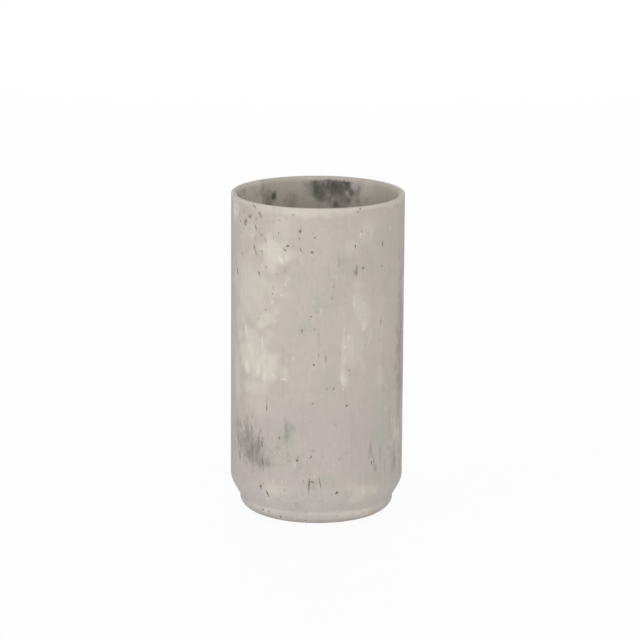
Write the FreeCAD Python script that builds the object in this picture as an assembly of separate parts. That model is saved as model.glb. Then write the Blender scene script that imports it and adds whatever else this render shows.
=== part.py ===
import FreeCAD, Part
import math
import os

from FreeCAD import Vector

# Bathroom tumbler of cast, stone-effect material, in millimetres.
# A straight round shell with a soft lip stands on a separately cast foot. Its bore widens a little towards
# the mouth. The foot's spigot closes the hole in the shell's lower end and makes the inside floor. A ring
# of sealant in the foot's groove bonds the two, and a rubber pad under the foot keeps the tumbler from
# sliding.
# Z is the tumbler's axis, and the origin is on the surface that it stands on.

# Shell
BODY_DIAMETER = 70.0  # outside of the straight wall
TOTAL_HEIGHT = 132.0  # from the standing surface to the top of the lip
LIP_WALL = 2.5  # thickness of the wall at the lip
FLOOR_WALL = 3.5  # thickness of the wall at the inside floor, more than at the lip to let the core draw out
LIP_OUTER_ROUND = 0.5  # rounding of the lip's outer edge
LIP_INNER_ROUND = 1.9  # rounding of the lip's inner edge
SHOULDER_HEIGHT = 7.3  # height of the cone that draws the wall in to the crease
SHOULDER_INSET = 3.9  # how far the cone draws in
SHOULDER_BLEND = 7.5  # rounding where the cone leaves the straight wall
LEDGE_WIDTH = 7.0  # inside ledge, from the wall to the socket for the spigot
FLOOR_ROUND = 6.0  # rounding between the inside wall and the ledge

# Foot
FOOT_HEIGHT = 6.2  # from the foot's underside to the crease
FOOT_PROUD = 0.1  # how far the foot stands out beyond the shell's lower edge
FOOT_EDGE_REACH = 8.2  # elliptic lower edge of the foot, measured along the underside
FOOT_EDGE_RISE = 5.6  # the same edge, measured up the side
CREASE_ROUND = 0.5  # rounding of the two edges that meet at the crease
SPIGOT_HEIGHT = 4.8  # from the crease to the inside floor
SPIGOT_CLEARANCE = 0.15  # radial, between the spigot and its socket

# Sealant ring between the shell and the foot
GROOVE_WIDTH = 1.8
GROOVE_DEPTH = 1.2
BEAD_CLEARANCE = 0.05  # beside and below the sealant, in its groove

# Pad under the foot
UNDERSIDE_RIM = 3.0  # flat ring of the foot's underside around the pad
PAD_THICKNESS = 1.5
PAD_PROUD = 0.5  # how far the pad stands out below the foot
PAD_EDGE_ROUND = 0.3  # rounding of the pad's lower edge
PAD_CLEARANCE = 0.3  # radial, between the pad and its recess
FILM_THICKNESS = 0.2  # adhesive film above the pad

TOUCHING = 1e-7  # two ends of a section this close are one point

# Levels above the standing surface
underside_z = PAD_PROUD
crease_z = underside_z + FOOT_HEIGHT
shoulder_z = crease_z + SHOULDER_HEIGHT
floor_z = crease_z + SPIGOT_HEIGHT
recess_z = FILM_THICKNESS + PAD_THICKNESS

# Radii
body_r = BODY_DIAMETER / 2
mouth_r = body_r - LIP_WALL
bore_r = body_r - FLOOR_WALL
crease_r = body_r - SHOULDER_INSET
foot_r = crease_r + FOOT_PROUD
socket_r = bore_r - LEDGE_WIDTH
spigot_r = socket_r - SPIGOT_CLEARANCE
groove_r = (socket_r + crease_r) / 2
recess_r = foot_r - FOOT_EDGE_REACH - UNDERSIDE_RIM
pad_r = recess_r - PAD_CLEARANCE


def section_point(radius, height):
    """A point of a half section, which lies in the XZ plane."""
    return Vector(radius, 0, height)


def spun(edges):
    """The solid that a closed half section sweeps in one turn about the axis."""
    section = Part.Face(Part.Wire(edges))
    return section.revolve(Vector(0, 0, 0), Vector(0, 0, 1), 360)


def rounded_section(corners):
    """Edges of a closed half section from (radius, height, rounding) corners.

    Where two roundings together are longer than the side between them, both give way in proportion.
    """
    points = [section_point(radius, height) for radius, height, rounding in corners]
    count = len(corners)
    sides = [points[(i + 1) % count] - points[i] for i in range(count)]
    half_angles = [(-sides[i - 1]).getAngle(sides[i]) / 2 for i in range(count)]
    reaches = [corners[i][2] / math.tan(half_angles[i]) for i in range(count)]
    shares = []
    for i in range(count):
        wanted = reaches[i] + reaches[(i + 1) % count]
        shares.append(min(1.0, sides[i].Length / wanted) if wanted > 0 else 1.0)

    starts, ends, arcs = [], [], []
    for i in range(count):
        reach = reaches[i] * min(shares[i - 1], shares[i])
        back = -sides[i - 1] / sides[i - 1].Length
        ahead = sides[i] / sides[i].Length
        starts.append(points[i] + back * reach)
        ends.append(points[i] + ahead * reach)
        if reach > 0:
            inward = (back + ahead).normalize()
            radius = reach * math.tan(half_angles[i])
            middle = points[i] + inward * (radius / math.sin(half_angles[i]) - radius)
            arcs.append(Part.Arc(starts[i], middle, ends[i]).toShape())

    lines = []
    for i in range(count):
        after = starts[(i + 1) % count]
        if not ends[i].isEqual(after, TOUCHING):
            lines.append(Part.makeLine(ends[i], after))
    return Part.__sortEdges__(arcs + lines)


def quarter_ellipse(start, corner, end):
    """The quarter of an ellipse that rounds a square corner and meets both of its sides smoothly."""
    curve = Part.BezierCurve()
    curve.setPoles([start, corner, end])
    curve.setWeight(2, math.sqrt(0.5))
    return curve.toShape()


def ring(outer_r, inner_r, bottom_z, height):
    """A flat ring about the axis."""
    outer = Part.makeCylinder(outer_r, height, Vector(0, 0, bottom_z))
    return outer.cut(Part.makeCylinder(inner_r, height, Vector(0, 0, bottom_z)))


def tumbler_shell():
    """The wall with its lip, shoulder and inside ledge, turned about the axis from one half section."""
    return spun(rounded_section([
        (socket_r, crease_z, 0),
        (crease_r, crease_z, CREASE_ROUND),
        (body_r, shoulder_z, SHOULDER_BLEND),
        (body_r, TOTAL_HEIGHT, LIP_OUTER_ROUND),
        (mouth_r, TOTAL_HEIGHT, LIP_INNER_ROUND),
        (bore_r, floor_z, FLOOR_ROUND),
        (socket_r, floor_z, 0),
    ]))


def base_foot():
    """The foot with its elliptic lower edge and its spigot, less the sealant groove and the pad recess."""
    edge_rise = min(FOOT_EDGE_RISE, FOOT_HEIGHT - CREASE_ROUND)
    flat_r = foot_r - FOOT_EDGE_REACH
    edge_z = underside_z + edge_rise
    round_z = crease_z - CREASE_ROUND
    round_r = foot_r - CREASE_ROUND
    eased = CREASE_ROUND * math.sqrt(0.5)

    axis_bottom = section_point(0, underside_z)
    flat_end = section_point(flat_r, underside_z)
    side_bottom = section_point(foot_r, edge_z)
    side_top = section_point(foot_r, round_z)
    round_middle = section_point(round_r + eased, round_z + eased)
    flange_edge = section_point(round_r, crease_z)
    spigot_bottom = section_point(spigot_r, crease_z)
    spigot_top = section_point(spigot_r, floor_z)
    axis_top = section_point(0, floor_z)
    lower_corner = section_point(foot_r, underside_z)

    edges = [
        Part.makeLine(axis_bottom, flat_end),
        quarter_ellipse(flat_end, lower_corner, side_bottom),
        Part.Arc(side_top, round_middle, flange_edge).toShape(),
        Part.makeLine(flange_edge, spigot_bottom),
        Part.makeLine(spigot_bottom, spigot_top),
        Part.makeLine(spigot_top, axis_top),
        Part.makeLine(axis_top, axis_bottom),
    ]
    if not side_bottom.isEqual(side_top, TOUCHING):
        edges.append(Part.makeLine(side_bottom, side_top))
    foot = spun(Part.__sortEdges__(edges))

    half_width = GROOVE_WIDTH / 2
    groove = ring(groove_r + half_width, groove_r - half_width, crease_z - GROOVE_DEPTH, GROOVE_DEPTH)
    recess = Part.makeCylinder(recess_r, recess_z - underside_z, Vector(0, 0, underside_z))
    return foot.cut(groove).cut(recess)


def bond_bead():
    """The cured sealant ring, which lies in the foot's groove and meets the shell's end face."""
    half_width = GROOVE_WIDTH / 2 - BEAD_CLEARANCE
    depth = GROOVE_DEPTH - BEAD_CLEARANCE
    return ring(groove_r + half_width, groove_r - half_width, crease_z - depth, depth)


def pad_film():
    """The adhesive film between the pad and the roof of its recess."""
    return Part.makeCylinder(pad_r, FILM_THICKNESS, Vector(0, 0, PAD_THICKNESS))


def non_slip_pad():
    """The rubber disc that the tumbler stands on."""
    return spun(rounded_section([
        (0, 0, 0),
        (pad_r, 0, PAD_EDGE_ROUND),
        (pad_r, PAD_THICKNESS, 0),
        (0, PAD_THICKNESS, 0),
    ]))


os.makedirs("parts", exist_ok=True)
for make_piece in (tumbler_shell, base_foot, bond_bead, pad_film, non_slip_pad):
    piece = make_piece()
    piece.exportStep(f"parts/{make_piece.__name__}.step")
    print(make_piece.__name__, "volume", round(piece.Volume, 1), "valid", piece.isValid())
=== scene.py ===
# %% [markdown]
# # A bathroom tumbler of cast stone
# The object is a tall round cup, cast from resin filled with stone powder, on a separately cast foot.
# The construction model already holds every piece at its real size and place. This lesson gives the
# pieces that show a finer mesh, with the pits and scratches of a real casting, and a mottled finish.
# All lengths are in metres, the unit of the frame, and the tumbler's axis is Z.

# %% Load the construction model
import math
import random
from collections import namedtuple

import bmesh
import bpy
from mathutils import Matrix, Vector, kdtree, noise


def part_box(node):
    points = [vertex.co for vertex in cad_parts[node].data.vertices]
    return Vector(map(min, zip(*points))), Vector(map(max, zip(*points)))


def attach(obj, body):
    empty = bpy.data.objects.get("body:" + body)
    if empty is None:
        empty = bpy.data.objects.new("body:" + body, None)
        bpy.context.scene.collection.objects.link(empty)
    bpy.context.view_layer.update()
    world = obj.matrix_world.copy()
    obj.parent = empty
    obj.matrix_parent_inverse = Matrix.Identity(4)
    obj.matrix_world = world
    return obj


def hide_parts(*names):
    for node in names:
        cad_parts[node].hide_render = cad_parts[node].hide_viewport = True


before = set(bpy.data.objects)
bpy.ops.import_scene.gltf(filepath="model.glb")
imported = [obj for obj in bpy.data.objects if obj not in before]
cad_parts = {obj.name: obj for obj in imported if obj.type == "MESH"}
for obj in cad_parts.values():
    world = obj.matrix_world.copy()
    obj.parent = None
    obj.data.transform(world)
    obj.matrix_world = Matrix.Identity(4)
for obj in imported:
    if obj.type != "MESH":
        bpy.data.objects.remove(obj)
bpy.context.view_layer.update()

# %% [markdown]
# ## Sizes
# Every size that the construction model can give is read from it, so the finer meshes follow it when it
# changes. Roundings can't be read from a mesh of triangles, so they are written as real sizes.

# %% Read the sizes
MM = 0.001
FLOOR_ROUND = 6.0 * MM  # rounding between the inside wall and the ledge
WALL_START = 0.9 * FLOOR_ROUND  # height above the floor where the rounding meets the wall
LIP_BAND = 3 * MM  # the lip's roundings lie within this height
NEAR = 0.5 * MM  # what lies this close to a level or to the axis belongs to it


def radii(node, low, high):
    """Radii of a construction node's vertices between two heights."""
    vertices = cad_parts[node].data.vertices
    return [math.hypot(v.co.x, v.co.y) for v in vertices if low <= v.co.z <= high]


shell_low, shell_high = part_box("tumbler_shell")
foot_low, foot_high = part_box("base_foot")
pad_low, pad_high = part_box("non_slip_pad")
bead_low, bead_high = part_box("bond_bead")

lip_z = shell_high[2]
crease_z = shell_low[2]
floor_z = foot_high[2]
underside_z = foot_low[2]
recess_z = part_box("pad_film")[1][2]
body_r = shell_high[0]
foot_r = foot_high[0]
pad_r = pad_high[0]
mouth_r = min(radii("tumbler_shell", lip_z - LIP_BAND, lip_z))
bore_r = min(radii("tumbler_shell", floor_z + WALL_START, lip_z / 2))
socket_r = min(radii("tumbler_shell", crease_z - NEAR, crease_z + NEAR))
spigot_r = max(radii("base_foot", floor_z - NEAR, floor_z))
print(f"Wall {(body_r - mouth_r) / MM:.2f} mm at the lip and {(body_r - bore_r) / MM:.2f} mm at the floor")

# %% [markdown]
# ## Camera
# A long lens far away shows the tumbler almost without perspective, so its sides look parallel. The
# camera looks along +Y and a little down, which shows the back of the lip and some of the inside. It
# leans by a fraction of a degree, as a hand-levelled tripod does.

# %% Set up the camera
LENS = 202.5  # millimetres, like the sensor's width
SENSOR = 36.0
AIM = Vector((1.12 * MM, 0, 79 * MM))
DISTANCE = 1460.7 * MM
LOOK_DOWN = math.radians(13.08)
LEAN = math.radians(0.38)

camera_data = bpy.data.cameras.new("camera")
camera_data.lens = LENS
camera_data.sensor_width = SENSOR
camera = bpy.data.objects.new("camera", camera_data)
bpy.context.collection.objects.link(camera)
back_off = Vector((0, -math.cos(LOOK_DOWN), math.sin(LOOK_DOWN))) * DISTANCE
tilt = Matrix.Rotation(math.pi / 2 - LOOK_DOWN, 4, "X") @ Matrix.Rotation(LEAN, 4, "Z")
camera.matrix_world = Matrix.Translation(AIM + back_off) @ tilt
bpy.context.scene.camera = camera
print("Camera at", [round(c, 3) for c in camera.location])

# %% [markdown]
# ## Drawing half sections
# Every piece here is round, so each one starts as half of its section: a chain of a few corners in the
# XZ plane. A vertex bevel rounds a corner into an arc, and a full spin about Z then makes the solid.
# Long sides are divided before the spin, because marks in the casting need vertices to move.

# %% Helpers for round pieces
# Numbers kept on the vertices: the way along the section, and the marks that the finish reads
LAYERS = ("along", "pit", "pale", "fleck", "smear_and_shade", "cool", "stain_and_shadow")
MERGE_DISTANCE = 0.001 * MM  # vertices closer than this become one


def new_piece():
    """An empty bmesh with its layers. They come first, because a new layer drops all vertex handles."""
    bm = bmesh.new()
    for name in LAYERS:
        bm.verts.layers.float.new(name)
    return bm


def section_wire(bm, corners, closed):
    """A chain of vertices and edges in the XZ plane through (radius, height) corners."""
    verts = [bm.verts.new((radius, 0, height)) for radius, height in corners]
    for start, end in zip(verts, verts[1:]):
        bm.edges.new((start, end))
    if closed:
        bm.edges.new((verts[-1], verts[0]))


def corner_at(bm, radius, height):
    """The chain's vertex nearest to a place. Operators replace vertices, so none is kept by hand."""
    place = Vector((radius, 0, height))
    return min(bm.verts, key=lambda vert: (vert.co - place).length)


def round_corner(bm, radius, height, rounding, segments):
    """Rounds the chain's corner at a radius and height with an arc."""
    vert = corner_at(bm, radius, height)
    first, second = [edge.other_vert(vert).co - vert.co for edge in vert.link_edges]
    reach = rounding / math.tan(first.angle(second) / 2)
    bmesh.ops.bevel(
        bm, geom=[vert], affect="VERTICES", offset=reach, offset_type="OFFSET",
        segments=segments, profile=0.5, material=-1,
    )


def divide(bm, spacing):
    """Cuts each edge of a chain into pieces no longer than spacing(middle of the edge)."""
    plan = []
    for edge in bm.edges:
        middle = (edge.verts[0].co + edge.verts[1].co) / 2
        plan.append((edge, math.ceil(edge.calc_length() / spacing(middle)) - 1))
    for edge, cuts in plan:
        if cuts > 0:
            bmesh.ops.subdivide_edges(bm, edges=[edge], cuts=cuts)


def measure_along(bm, start):
    """Stores how far along the chain each vertex lies, and returns the whole chain's length."""
    layer = bm.verts.layers.float["along"]
    seen = {start}
    vert, distance = start, 0.0
    while True:
        vert[layer] = distance
        ahead = [e for e in vert.link_edges if e.other_vert(vert) not in seen]
        if not ahead:
            closing = [e for e in vert.link_edges if e.other_vert(vert) == start]
            return distance + sum(e.calc_length() for e in closing)
        distance += ahead[0].calc_length()
        vert = ahead[0].other_vert(vert)
        seen.add(vert)


def spin_once_round(bm, steps):
    """Sweeps the chain about Z, closes the seam and the poles, and turns the faces outwards."""
    chain = bm.verts[:] + bm.edges[:]
    bmesh.ops.spin(
        bm, geom=chain, cent=(0, 0, 0), axis=(0, 0, 1), angle=2 * math.pi, steps=steps, use_merge=True,
    )
    bmesh.ops.remove_doubles(bm, verts=bm.verts, dist=MERGE_DISTANCE)
    bmesh.ops.recalc_face_normals(bm, faces=bm.faces)


# %% [markdown]
# ## The shell's section
# The wall is straight, with a soft lip. Below, a short cone draws it in to the crease over the foot.
# Inside, the wall curves into a ledge, and the hole in the ledge takes the foot's spigot. The outside
# gets rows 1.5 mm apart, the inside fewer, because less detail is worked into it. Near the crease the
# skin is drawn in a little, because the joint is filled and rubbed down to a soft dip.

# %% Draw the shell
LIP_OUTER_ROUND = 0.5 * MM
LIP_INNER_ROUND = 1.9 * MM
SHOULDER_RISE = 7.3 * MM
SHOULDER_INSET = 3.9 * MM
SHOULDER_BLEND = 7.5 * MM
DIP_RISE = 2.2 * MM  # how far above the crease the skin is drawn in
DIP_DEPTH = 0.25 * MM  # and how far in it goes
ROW_OUTSIDE = 1.5 * MM  # heights of the rows of faces
ROW_INSIDE = 2.6 * MM
ROW_DIP = 0.3 * MM
DIP_EDGE = 0.5 * MM  # what lies deeper than this belongs to the joint's hidden faces
SHELL_STEPS = 256

shoulder_z = crease_z + SHOULDER_RISE
crease_r = body_r - SHOULDER_INSET


def row_height(middle):
    """Spacing of the rows: fine on the outside, finer in the dip at the crease, coarser inside."""
    if middle.x < crease_r - DIP_EDGE:
        return ROW_INSIDE
    return ROW_DIP if abs(middle.z - crease_z) < DIP_RISE else ROW_OUTSIDE


def draw_in(bm, rise):
    """Draws the outside of a section in to the bottom of the dip at the crease, within a height of it."""
    for vert in bm.verts:
        near = 1 - abs(vert.co.z - crease_z) / rise
        if near > 0 and vert.co.x > crease_r - DIP_EDGE:
            soft = near * near * (3 - 2 * near)
            vert.co.x += (crease_r - DIP_DEPTH - vert.co.x) * soft


shell = new_piece()
section_wire(shell, [
    (socket_r, crease_z),
    (crease_r, crease_z),
    (body_r, shoulder_z),
    (body_r, lip_z),
    (mouth_r, lip_z),
    (bore_r, floor_z),
    (socket_r, floor_z),
], closed=True)
round_corner(shell, body_r, shoulder_z, SHOULDER_BLEND, segments=6)
round_corner(shell, body_r, lip_z, LIP_OUTER_ROUND, segments=5)
round_corner(shell, mouth_r, lip_z, LIP_INNER_ROUND, segments=8)
round_corner(shell, bore_r, floor_z, FLOOR_ROUND, segments=8)
divide(shell, row_height)
draw_in(shell, DIP_RISE)
shell_length = measure_along(shell, corner_at(shell, socket_r, crease_z))
spin_once_round(shell, SHELL_STEPS)
print("Shell:", len(shell.faces), "faces, section", round(shell_length / MM, 1), "mm round")

# %% [markdown]
# ## Marks on the casting
# Every mark is one row of six numbers: its turn from the front line in degrees, positive to the right,
# its height, half width and half length in millimetres, its lean to the right in degrees, and its
# strength. A k-d tree finds the vertices near a mark quickly. The edge of each mark is warped with
# noise, because nothing that air, stone and resin leave behind is a true ellipse.

# %% Helpers for marks
Mark = namedtuple("Mark", "turn height half_width half_length lean strength")
ALL_ROUND = 400  # a half width in millimetres that takes a mark all round the tumbler
INWARD_LIMIT = -0.2  # a normal that leans inwards no more than this is on the outside or the lip


def placed(*rows):
    """Marks from rows of six numbers."""
    return [Mark(*row) for row in rows]


def shell_r(height):
    """Radius of the shell's outside at a height."""
    if height > shoulder_z:
        return body_r
    return crease_r + (body_r - crease_r) * max(0.0, (height - crease_z) / SHOULDER_RISE)


def on_wall(turn, height, radius):
    """The point at a turn in degrees from the front, a height and a radius."""
    angle = math.radians(turn)
    return Vector((radius * math.sin(angle), -radius * math.cos(angle), height))


def turn_of(point):
    """Turn of a point from the front line, in degrees."""
    return math.degrees(math.atan2(point.x, -point.y))


def tree_of(points):
    """A k-d tree over points, which keeps their order."""
    tree = kdtree.KDTree(len(points))
    for index, point in enumerate(points):
        tree.insert(point, index)
    tree.balance()
    return tree


def spread(point, mark, ragged, grain):
    """How far a point lies from a mark's middle, 1 on its edge, with the edge warped by noise."""
    apart = (turn_of(point) - mark.turn + 180) % 360 - 180
    across = math.hypot(point.x, point.y) * math.radians(apart) / MM
    up = point.z / MM - mark.height
    slant = math.radians(mark.lean)
    side = across * math.cos(slant) - up * math.sin(slant)
    ahead = up * math.cos(slant) + across * math.sin(slant)
    distance = math.hypot(side / mark.half_width, ahead / mark.half_length)
    return distance * (1 + ragged * noise.noise(point / grain))


def fade(distance, core):
    """1 inside the core of a mark, falling smoothly to 0 at its edge."""
    t = min(1.0, max(0.0, (1 - distance) / (1 - core)))
    return t * t * (3 - 2 * t)


def faces_outwards(item):
    """True for a vertex or face on the outside or on the lip."""
    point = item.co if isinstance(item, bmesh.types.BMVert) else item.calc_center_median()
    outward = Vector((point.x, point.y, 0)).normalized()
    return item.normal.dot(outward) > INWARD_LIMIT


# %% [markdown]
# ## Pits and scratches
# Air bubbles open as small pits when the casting is rubbed down, and coarse grains drag out short
# scratches. Bump in the finish alone would vanish in profile and in the exported mesh, so they are real
# hollows. The larger ones on the front are listed, and the rest are placed by chance, from a fixed seed.

# %% Where the pits and scratches are
FRONT_PITS = placed(
    (-16.2, 129.2, 0.5, 0.45, 0, 1), (-26.2, 121.4, 0.25, 1.0, 0, 0.9), (-11.6, 122.8, 0.75, 0.8, 20, 1),
    (-12.1, 119.7, 0.5, 0.7, -40, 0.9), (-1.8, 120.3, 0.5, 0.5, 0, 1), (-19.7, 116.6, 0.9, 0.5, 0, 1),
    (-16.1, 116.5, 0.25, 0.5, 30, 0.8), (-21.7, 114.8, 0.4, 1.1, -40, 0.9),
    (-11.1, 115.5, 0.3, 0.9, 10, 1), (-10.3, 114.6, 0.3, 0.5, 0, 0.8), (-3.6, 114.4, 0.55, 0.45, 0, 1),
    (-39.3, 113.2, 0.4, 0.7, 0, 0.7), (-35.9, 107, 0.4, 0.4, 0, 0.9), (-26.9, 104.6, 0.35, 0.4, 0, 0.8),
    (-30.6, 96.7, 0.45, 0.45, 0, 0.9), (28.2, 131.2, 0.6, 0.45, -40, 1), (27.2, 130.2, 0.3, 0.7, 30, 0.8),
    (29.8, 122.1, 0.25, 0.6, 0, 0.7), (30.8, 107.1, 0.55, 0.7, 25, 1), (46.6, 107, 0.35, 0.5, 0, 1),
    (10.5, 100.5, 0.5, 0.5, 0, 0.8), (-36, 89.5, 0.45, 0.45, 0, 1), (-9.6, 82.7, 0.45, 0.4, 0, 0.9),
    (-3.7, 88.5, 0.45, 0.45, 0, 0.8), (-0.3, 90.4, 0.4, 0.4, 0, 0.8), (-1.9, 83.2, 0.3, 0.8, 0, 0.8),
    (-2.1, 68.8, 0.6, 0.55, 0, 1), (21.6, 66.2, 0.45, 0.5, 0, 1), (22.1, 64.1, 0.35, 0.45, 0, 0.8),
    (11.3, 58.7, 0.4, 0.35, 0, 0.9), (-2.8, 52.9, 0.6, 0.4, 0, 0.7), (20.2, 51.6, 0.5, 0.45, 0, 1),
    (-61.9, 25.7, 0.7, 0.7, 0, 0.8), (-43.9, 36.2, 0.5, 0.4, 0, 0.9), (-25.1, 37.8, 0.35, 0.6, 5, 1),
    (-12.9, 29.2, 0.6, 0.8, 30, 1), (-12, 30.6, 0.3, 0.9, 35, 0.9), (-17.5, 28.6, 0.3, 0.5, 0, 0.7),
    (-15.2, 28.9, 0.35, 0.25, 0, 0.6), (-3.5, 30.9, 0.35, 1.0, 35, 1), (-39.6, 16.4, 0.75, 0.9, 10, 1),
    (-37.4, 17.9, 0.3, 0.8, 55, 0.8), (13.9, 15.8, 0.55, 0.6, 30, 1), (56.4, 30.5, 0.4, 0.4, 0, 0.7),
    (39.6, 26.6, 0.45, 1.1, 0, 1), (2, 114.7, 0.3, 0.3, 0, 0.5), (6.5, 58.7, 0.35, 0.8, 0, 0.6),
    (12.8, 44, 0.3, 0.3, 0, 0.5), (18.5, 10.4, 0.4, 0.4, 0, 0.6), (-54.5, 124.2, 0.5, 1.1, -20, 0.9),
    (-49.8, 126.4, 0.6, 0.6, 40, 0.7), (-61.7, 123.1, 0.6, 0.7, 0, 0.7),
    (-50.7, 125.9, 0.7, 0.5, 20, 0.8), (-44.4, 119.2, 0.3, 0.4, 0, 0.7), (-45, 111.9, 0.3, 0.5, 0, 0.5),
    (-30.3, 118.6, 0.25, 0.4, 0, 0.5), (-56.8, 120.6, 0.3, 0.6, -20, 0.5),
)
FRONT_SCRATCHES = placed(
    (-46.1, 130.7, 0.45, 1.5, -57, 1), (-42, 128.4, 0.35, 1.6, -58, 0.7),
    (-45, 122.6, 0.4, 1.4, -24, 0.8), (-44.8, 112.9, 0.35, 2.4, -28, 0.7),
    (-41.7, 104.2, 0.5, 1.2, -31, 1), (-66.6, 102.1, 0.8, 2.0, -29, 1), (25.3, 116.1, 0.35, 1.2, 0, 1),
    (47.6, 115.5, 0.4, 1.3, -12, 1), (26.2, 105.6, 0.35, 1.3, 5, 0.9), (46.6, 84.1, 0.3, 1.4, 6, 0.9),
    (33.1, 75.7, 0.3, 1.0, 0, 0.7), (5.9, 71.4, 0.3, 2.0, 0, 0.8), (-34.9, 49.6, 0.3, 2.2, 0, 0.9),
    (-38.8, 34.1, 0.5, 2.2, -12, 1), (-37.9, 26.2, 0.45, 1.9, -6, 1), (-4.7, 19.1, 0.4, 4.0, 3, 1),
    (-2.7, 20.6, 0.45, 1.1, -68, 1), (2.6, 20, 0.3, 3.3, -12, 0.9), (-34.4, 13.7, 0.45, 2.4, -16, 0.9),
    (43.3, 23.4, 0.3, 1.0, 0, 0.6), (58.6, 35, 0.2, 1.6, 0, 0.6), (3.5, 31, 0.15, 3.4, 3, 0.6),
    (-55.1, 123, 0.4, 1.3, -22, 0.9), (-44.4, 122.1, 0.35, 1.5, -30, 0.7),
    (-39.9, 120.1, 0.25, 0.8, -75, 0.8), (-45.9, 114.2, 0.35, 1.4, -20, 0.8),
    (-39, 112, 0.25, 1.5, -5, 0.5), (-32.6, 125.4, 0.2, 1.0, 0, 0.5), (-60, 118.5, 0.3, 1.0, 0, 0.5),
)
print("Placed by hand:", len(FRONT_PITS), "pits and", len(FRONT_SCRATCHES), "scratches")

# %% Scatter more pits and scratches
# Areas, as turns in degrees and heights in millimetres
SIDES_AND_BACK = ((64, 296), (15, 130))
SCUFFED_LEFT = ((-63, -38), (108, 128))
SCUFFED_FRONT = ((-26, -12), (110, 124))
SMUDGED_LEFT = ((-56, -34), (24, 38))
SMUDGED_FRONT = ((-30, -5), (22, 33))
SEED = 11
chance = random.Random(SEED)


def scattered(count, area, half_widths, stretches, leans, strengths):
    """Marks at random in an area, with their sizes, leans and strengths between limits."""
    marks = []
    for _ in range(count):
        half_width = chance.uniform(*half_widths)
        half_length = half_width * chance.uniform(*stretches)
        turn, height = [chance.uniform(*limits) for limits in area]
        lean = chance.uniform(*leans)
        strength = chance.uniform(*strengths)
        marks.append(Mark(turn, height, half_width, half_length, lean, strength))
    return marks


pits = FRONT_PITS + FRONT_SCRATCHES
pits += scattered(16, SCUFFED_LEFT, (0.2, 0.4), (0.9, 3.0), (-60, -5), (0.3, 0.65))
pits += scattered(6, SCUFFED_FRONT, (0.15, 0.25), (0.8, 2.5), (-60, 60), (0.4, 0.7))
pits += scattered(8, SMUDGED_LEFT, (0.25, 0.4), (1.0, 3.0), (-25, 10), (0.4, 0.8))
pits += scattered(6, SMUDGED_FRONT, (0.15, 0.25), (0.8, 2.0), (-40, 40), (0.4, 0.7))
pits += scattered(90, SIDES_AND_BACK, (0.2, 0.55), (0.8, 1.9), (-60, 60), (0.5, 1))
pits += scattered(30, SIDES_AND_BACK, (0.2, 0.4), (4, 9), (-18, 12), (0.6, 1))
print("Pits and scratches:", len(pits))

# %% Helpers that sink pits into a piece
FINE_CUTS = 3  # in each edge of a face that is divided
FINE_HALF_WIDTH = 1.05  # marks narrower than this, in millimetres, get finer faces
FINE_MARGIN = 0.45  # millimetres round a mark that are divided with it
PIT_DEPTH_SHARE = 0.5  # depth of a pit, as a share of its half width
PIT_CORE = 0.3  # share of a pit that has its full depth
PIT_GRAIN = 0.8 * MM  # size of the noise that warps its edge
PIT_RAGGED = 0.7  # how strongly the edge is warped
SCRATCH_RAGGED = 0.45
SCRATCH_STRETCH = 2  # a mark longer than this many times its width is a scratch
HALO_SPREAD = 2.4  # size of the stained ring round a pit, in sizes of the pit
HALO_STRENGTH = 0.4
HALO_CORE = 0.2
WARP_REACH = 1.6  # vertices are looked for this many sizes out, because edges are warped


def along_mark(mark, radius_at):
    """Points along a mark, close enough together to find every face under it."""
    slant = math.radians(mark.lean)
    count = max(1, round(mark.half_length / mark.half_width))
    for i in range(count):
        ahead = (2 * (i + 0.5) / count - 1) * mark.half_length * MM
        z = mark.height * MM + ahead * math.cos(slant)
        radius = radius_at(z)
        yield on_wall(mark.turn + math.degrees(ahead * math.sin(slant) / radius), z, radius)


def divide_under(bm, marks, radius_at):
    """Divides the outside's faces under narrow marks, so that there are vertices to hold them."""
    bm.normal_update()
    bm.faces.ensure_lookup_table()
    tree = tree_of([face.calc_center_median() for face in bm.faces])
    narrow = [mark for mark in marks if mark.half_width < FINE_HALF_WIDTH]
    under = set()
    for mark in narrow:
        for point in along_mark(mark, radius_at):
            for _, index, _ in tree.find_range(point, (mark.half_width + FINE_MARGIN) * MM):
                if faces_outwards(bm.faces[index]):
                    under.add(bm.faces[index])
    edges = {edge for face in under for edge in face.edges}
    bmesh.ops.subdivide_edges(bm, edges=list(edges), cuts=FINE_CUTS, use_grid_fill=True)


def near_vertices(bm, tree, mark, radius_at, times, outside=True):
    """The vertices of the outside, or else of the inside, within a number of times a mark's size."""
    z = mark.height * MM
    middle = on_wall(mark.turn, z, radius_at(z))
    for _, index, _ in tree.find_range(middle, times * max(mark.half_width, mark.half_length) * MM):
        if faces_outwards(bm.verts[index]) == outside:
            yield bm.verts[index]


def sink_pits(bm, pits, radius_at):
    """Pushes the vertices under pits in, and paints the pits and the stained rings round them."""
    bm.normal_update()
    bm.verts.ensure_lookup_table()
    tree = tree_of([vert.co for vert in bm.verts])
    hollow = bm.verts.layers.float["pit"]
    halo = bm.verts.layers.float["smear_and_shade"]
    depths = {}
    for pit in pits:
        is_scratch = pit.half_length > SCRATCH_STRETCH * pit.half_width
        ragged = SCRATCH_RAGGED if is_scratch else PIT_RAGGED
        for vert in near_vertices(bm, tree, pit, radius_at, HALO_SPREAD * WARP_REACH):
            far = spread(vert.co, pit, ragged, PIT_GRAIN)
            ring = HALO_STRENGTH * pit.strength * fade(far / HALO_SPREAD, HALO_CORE)
            vert[halo] = max(vert[halo], ring)
            amount = pit.strength * fade(far, PIT_CORE)
            if amount > vert[hollow]:
                vert[hollow] = amount
                depths[vert] = amount * pit.half_width * MM * PIT_DEPTH_SHARE
    for vert, depth in depths.items():
        vert.co -= vert.normal * depth
    return len(depths)
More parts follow.
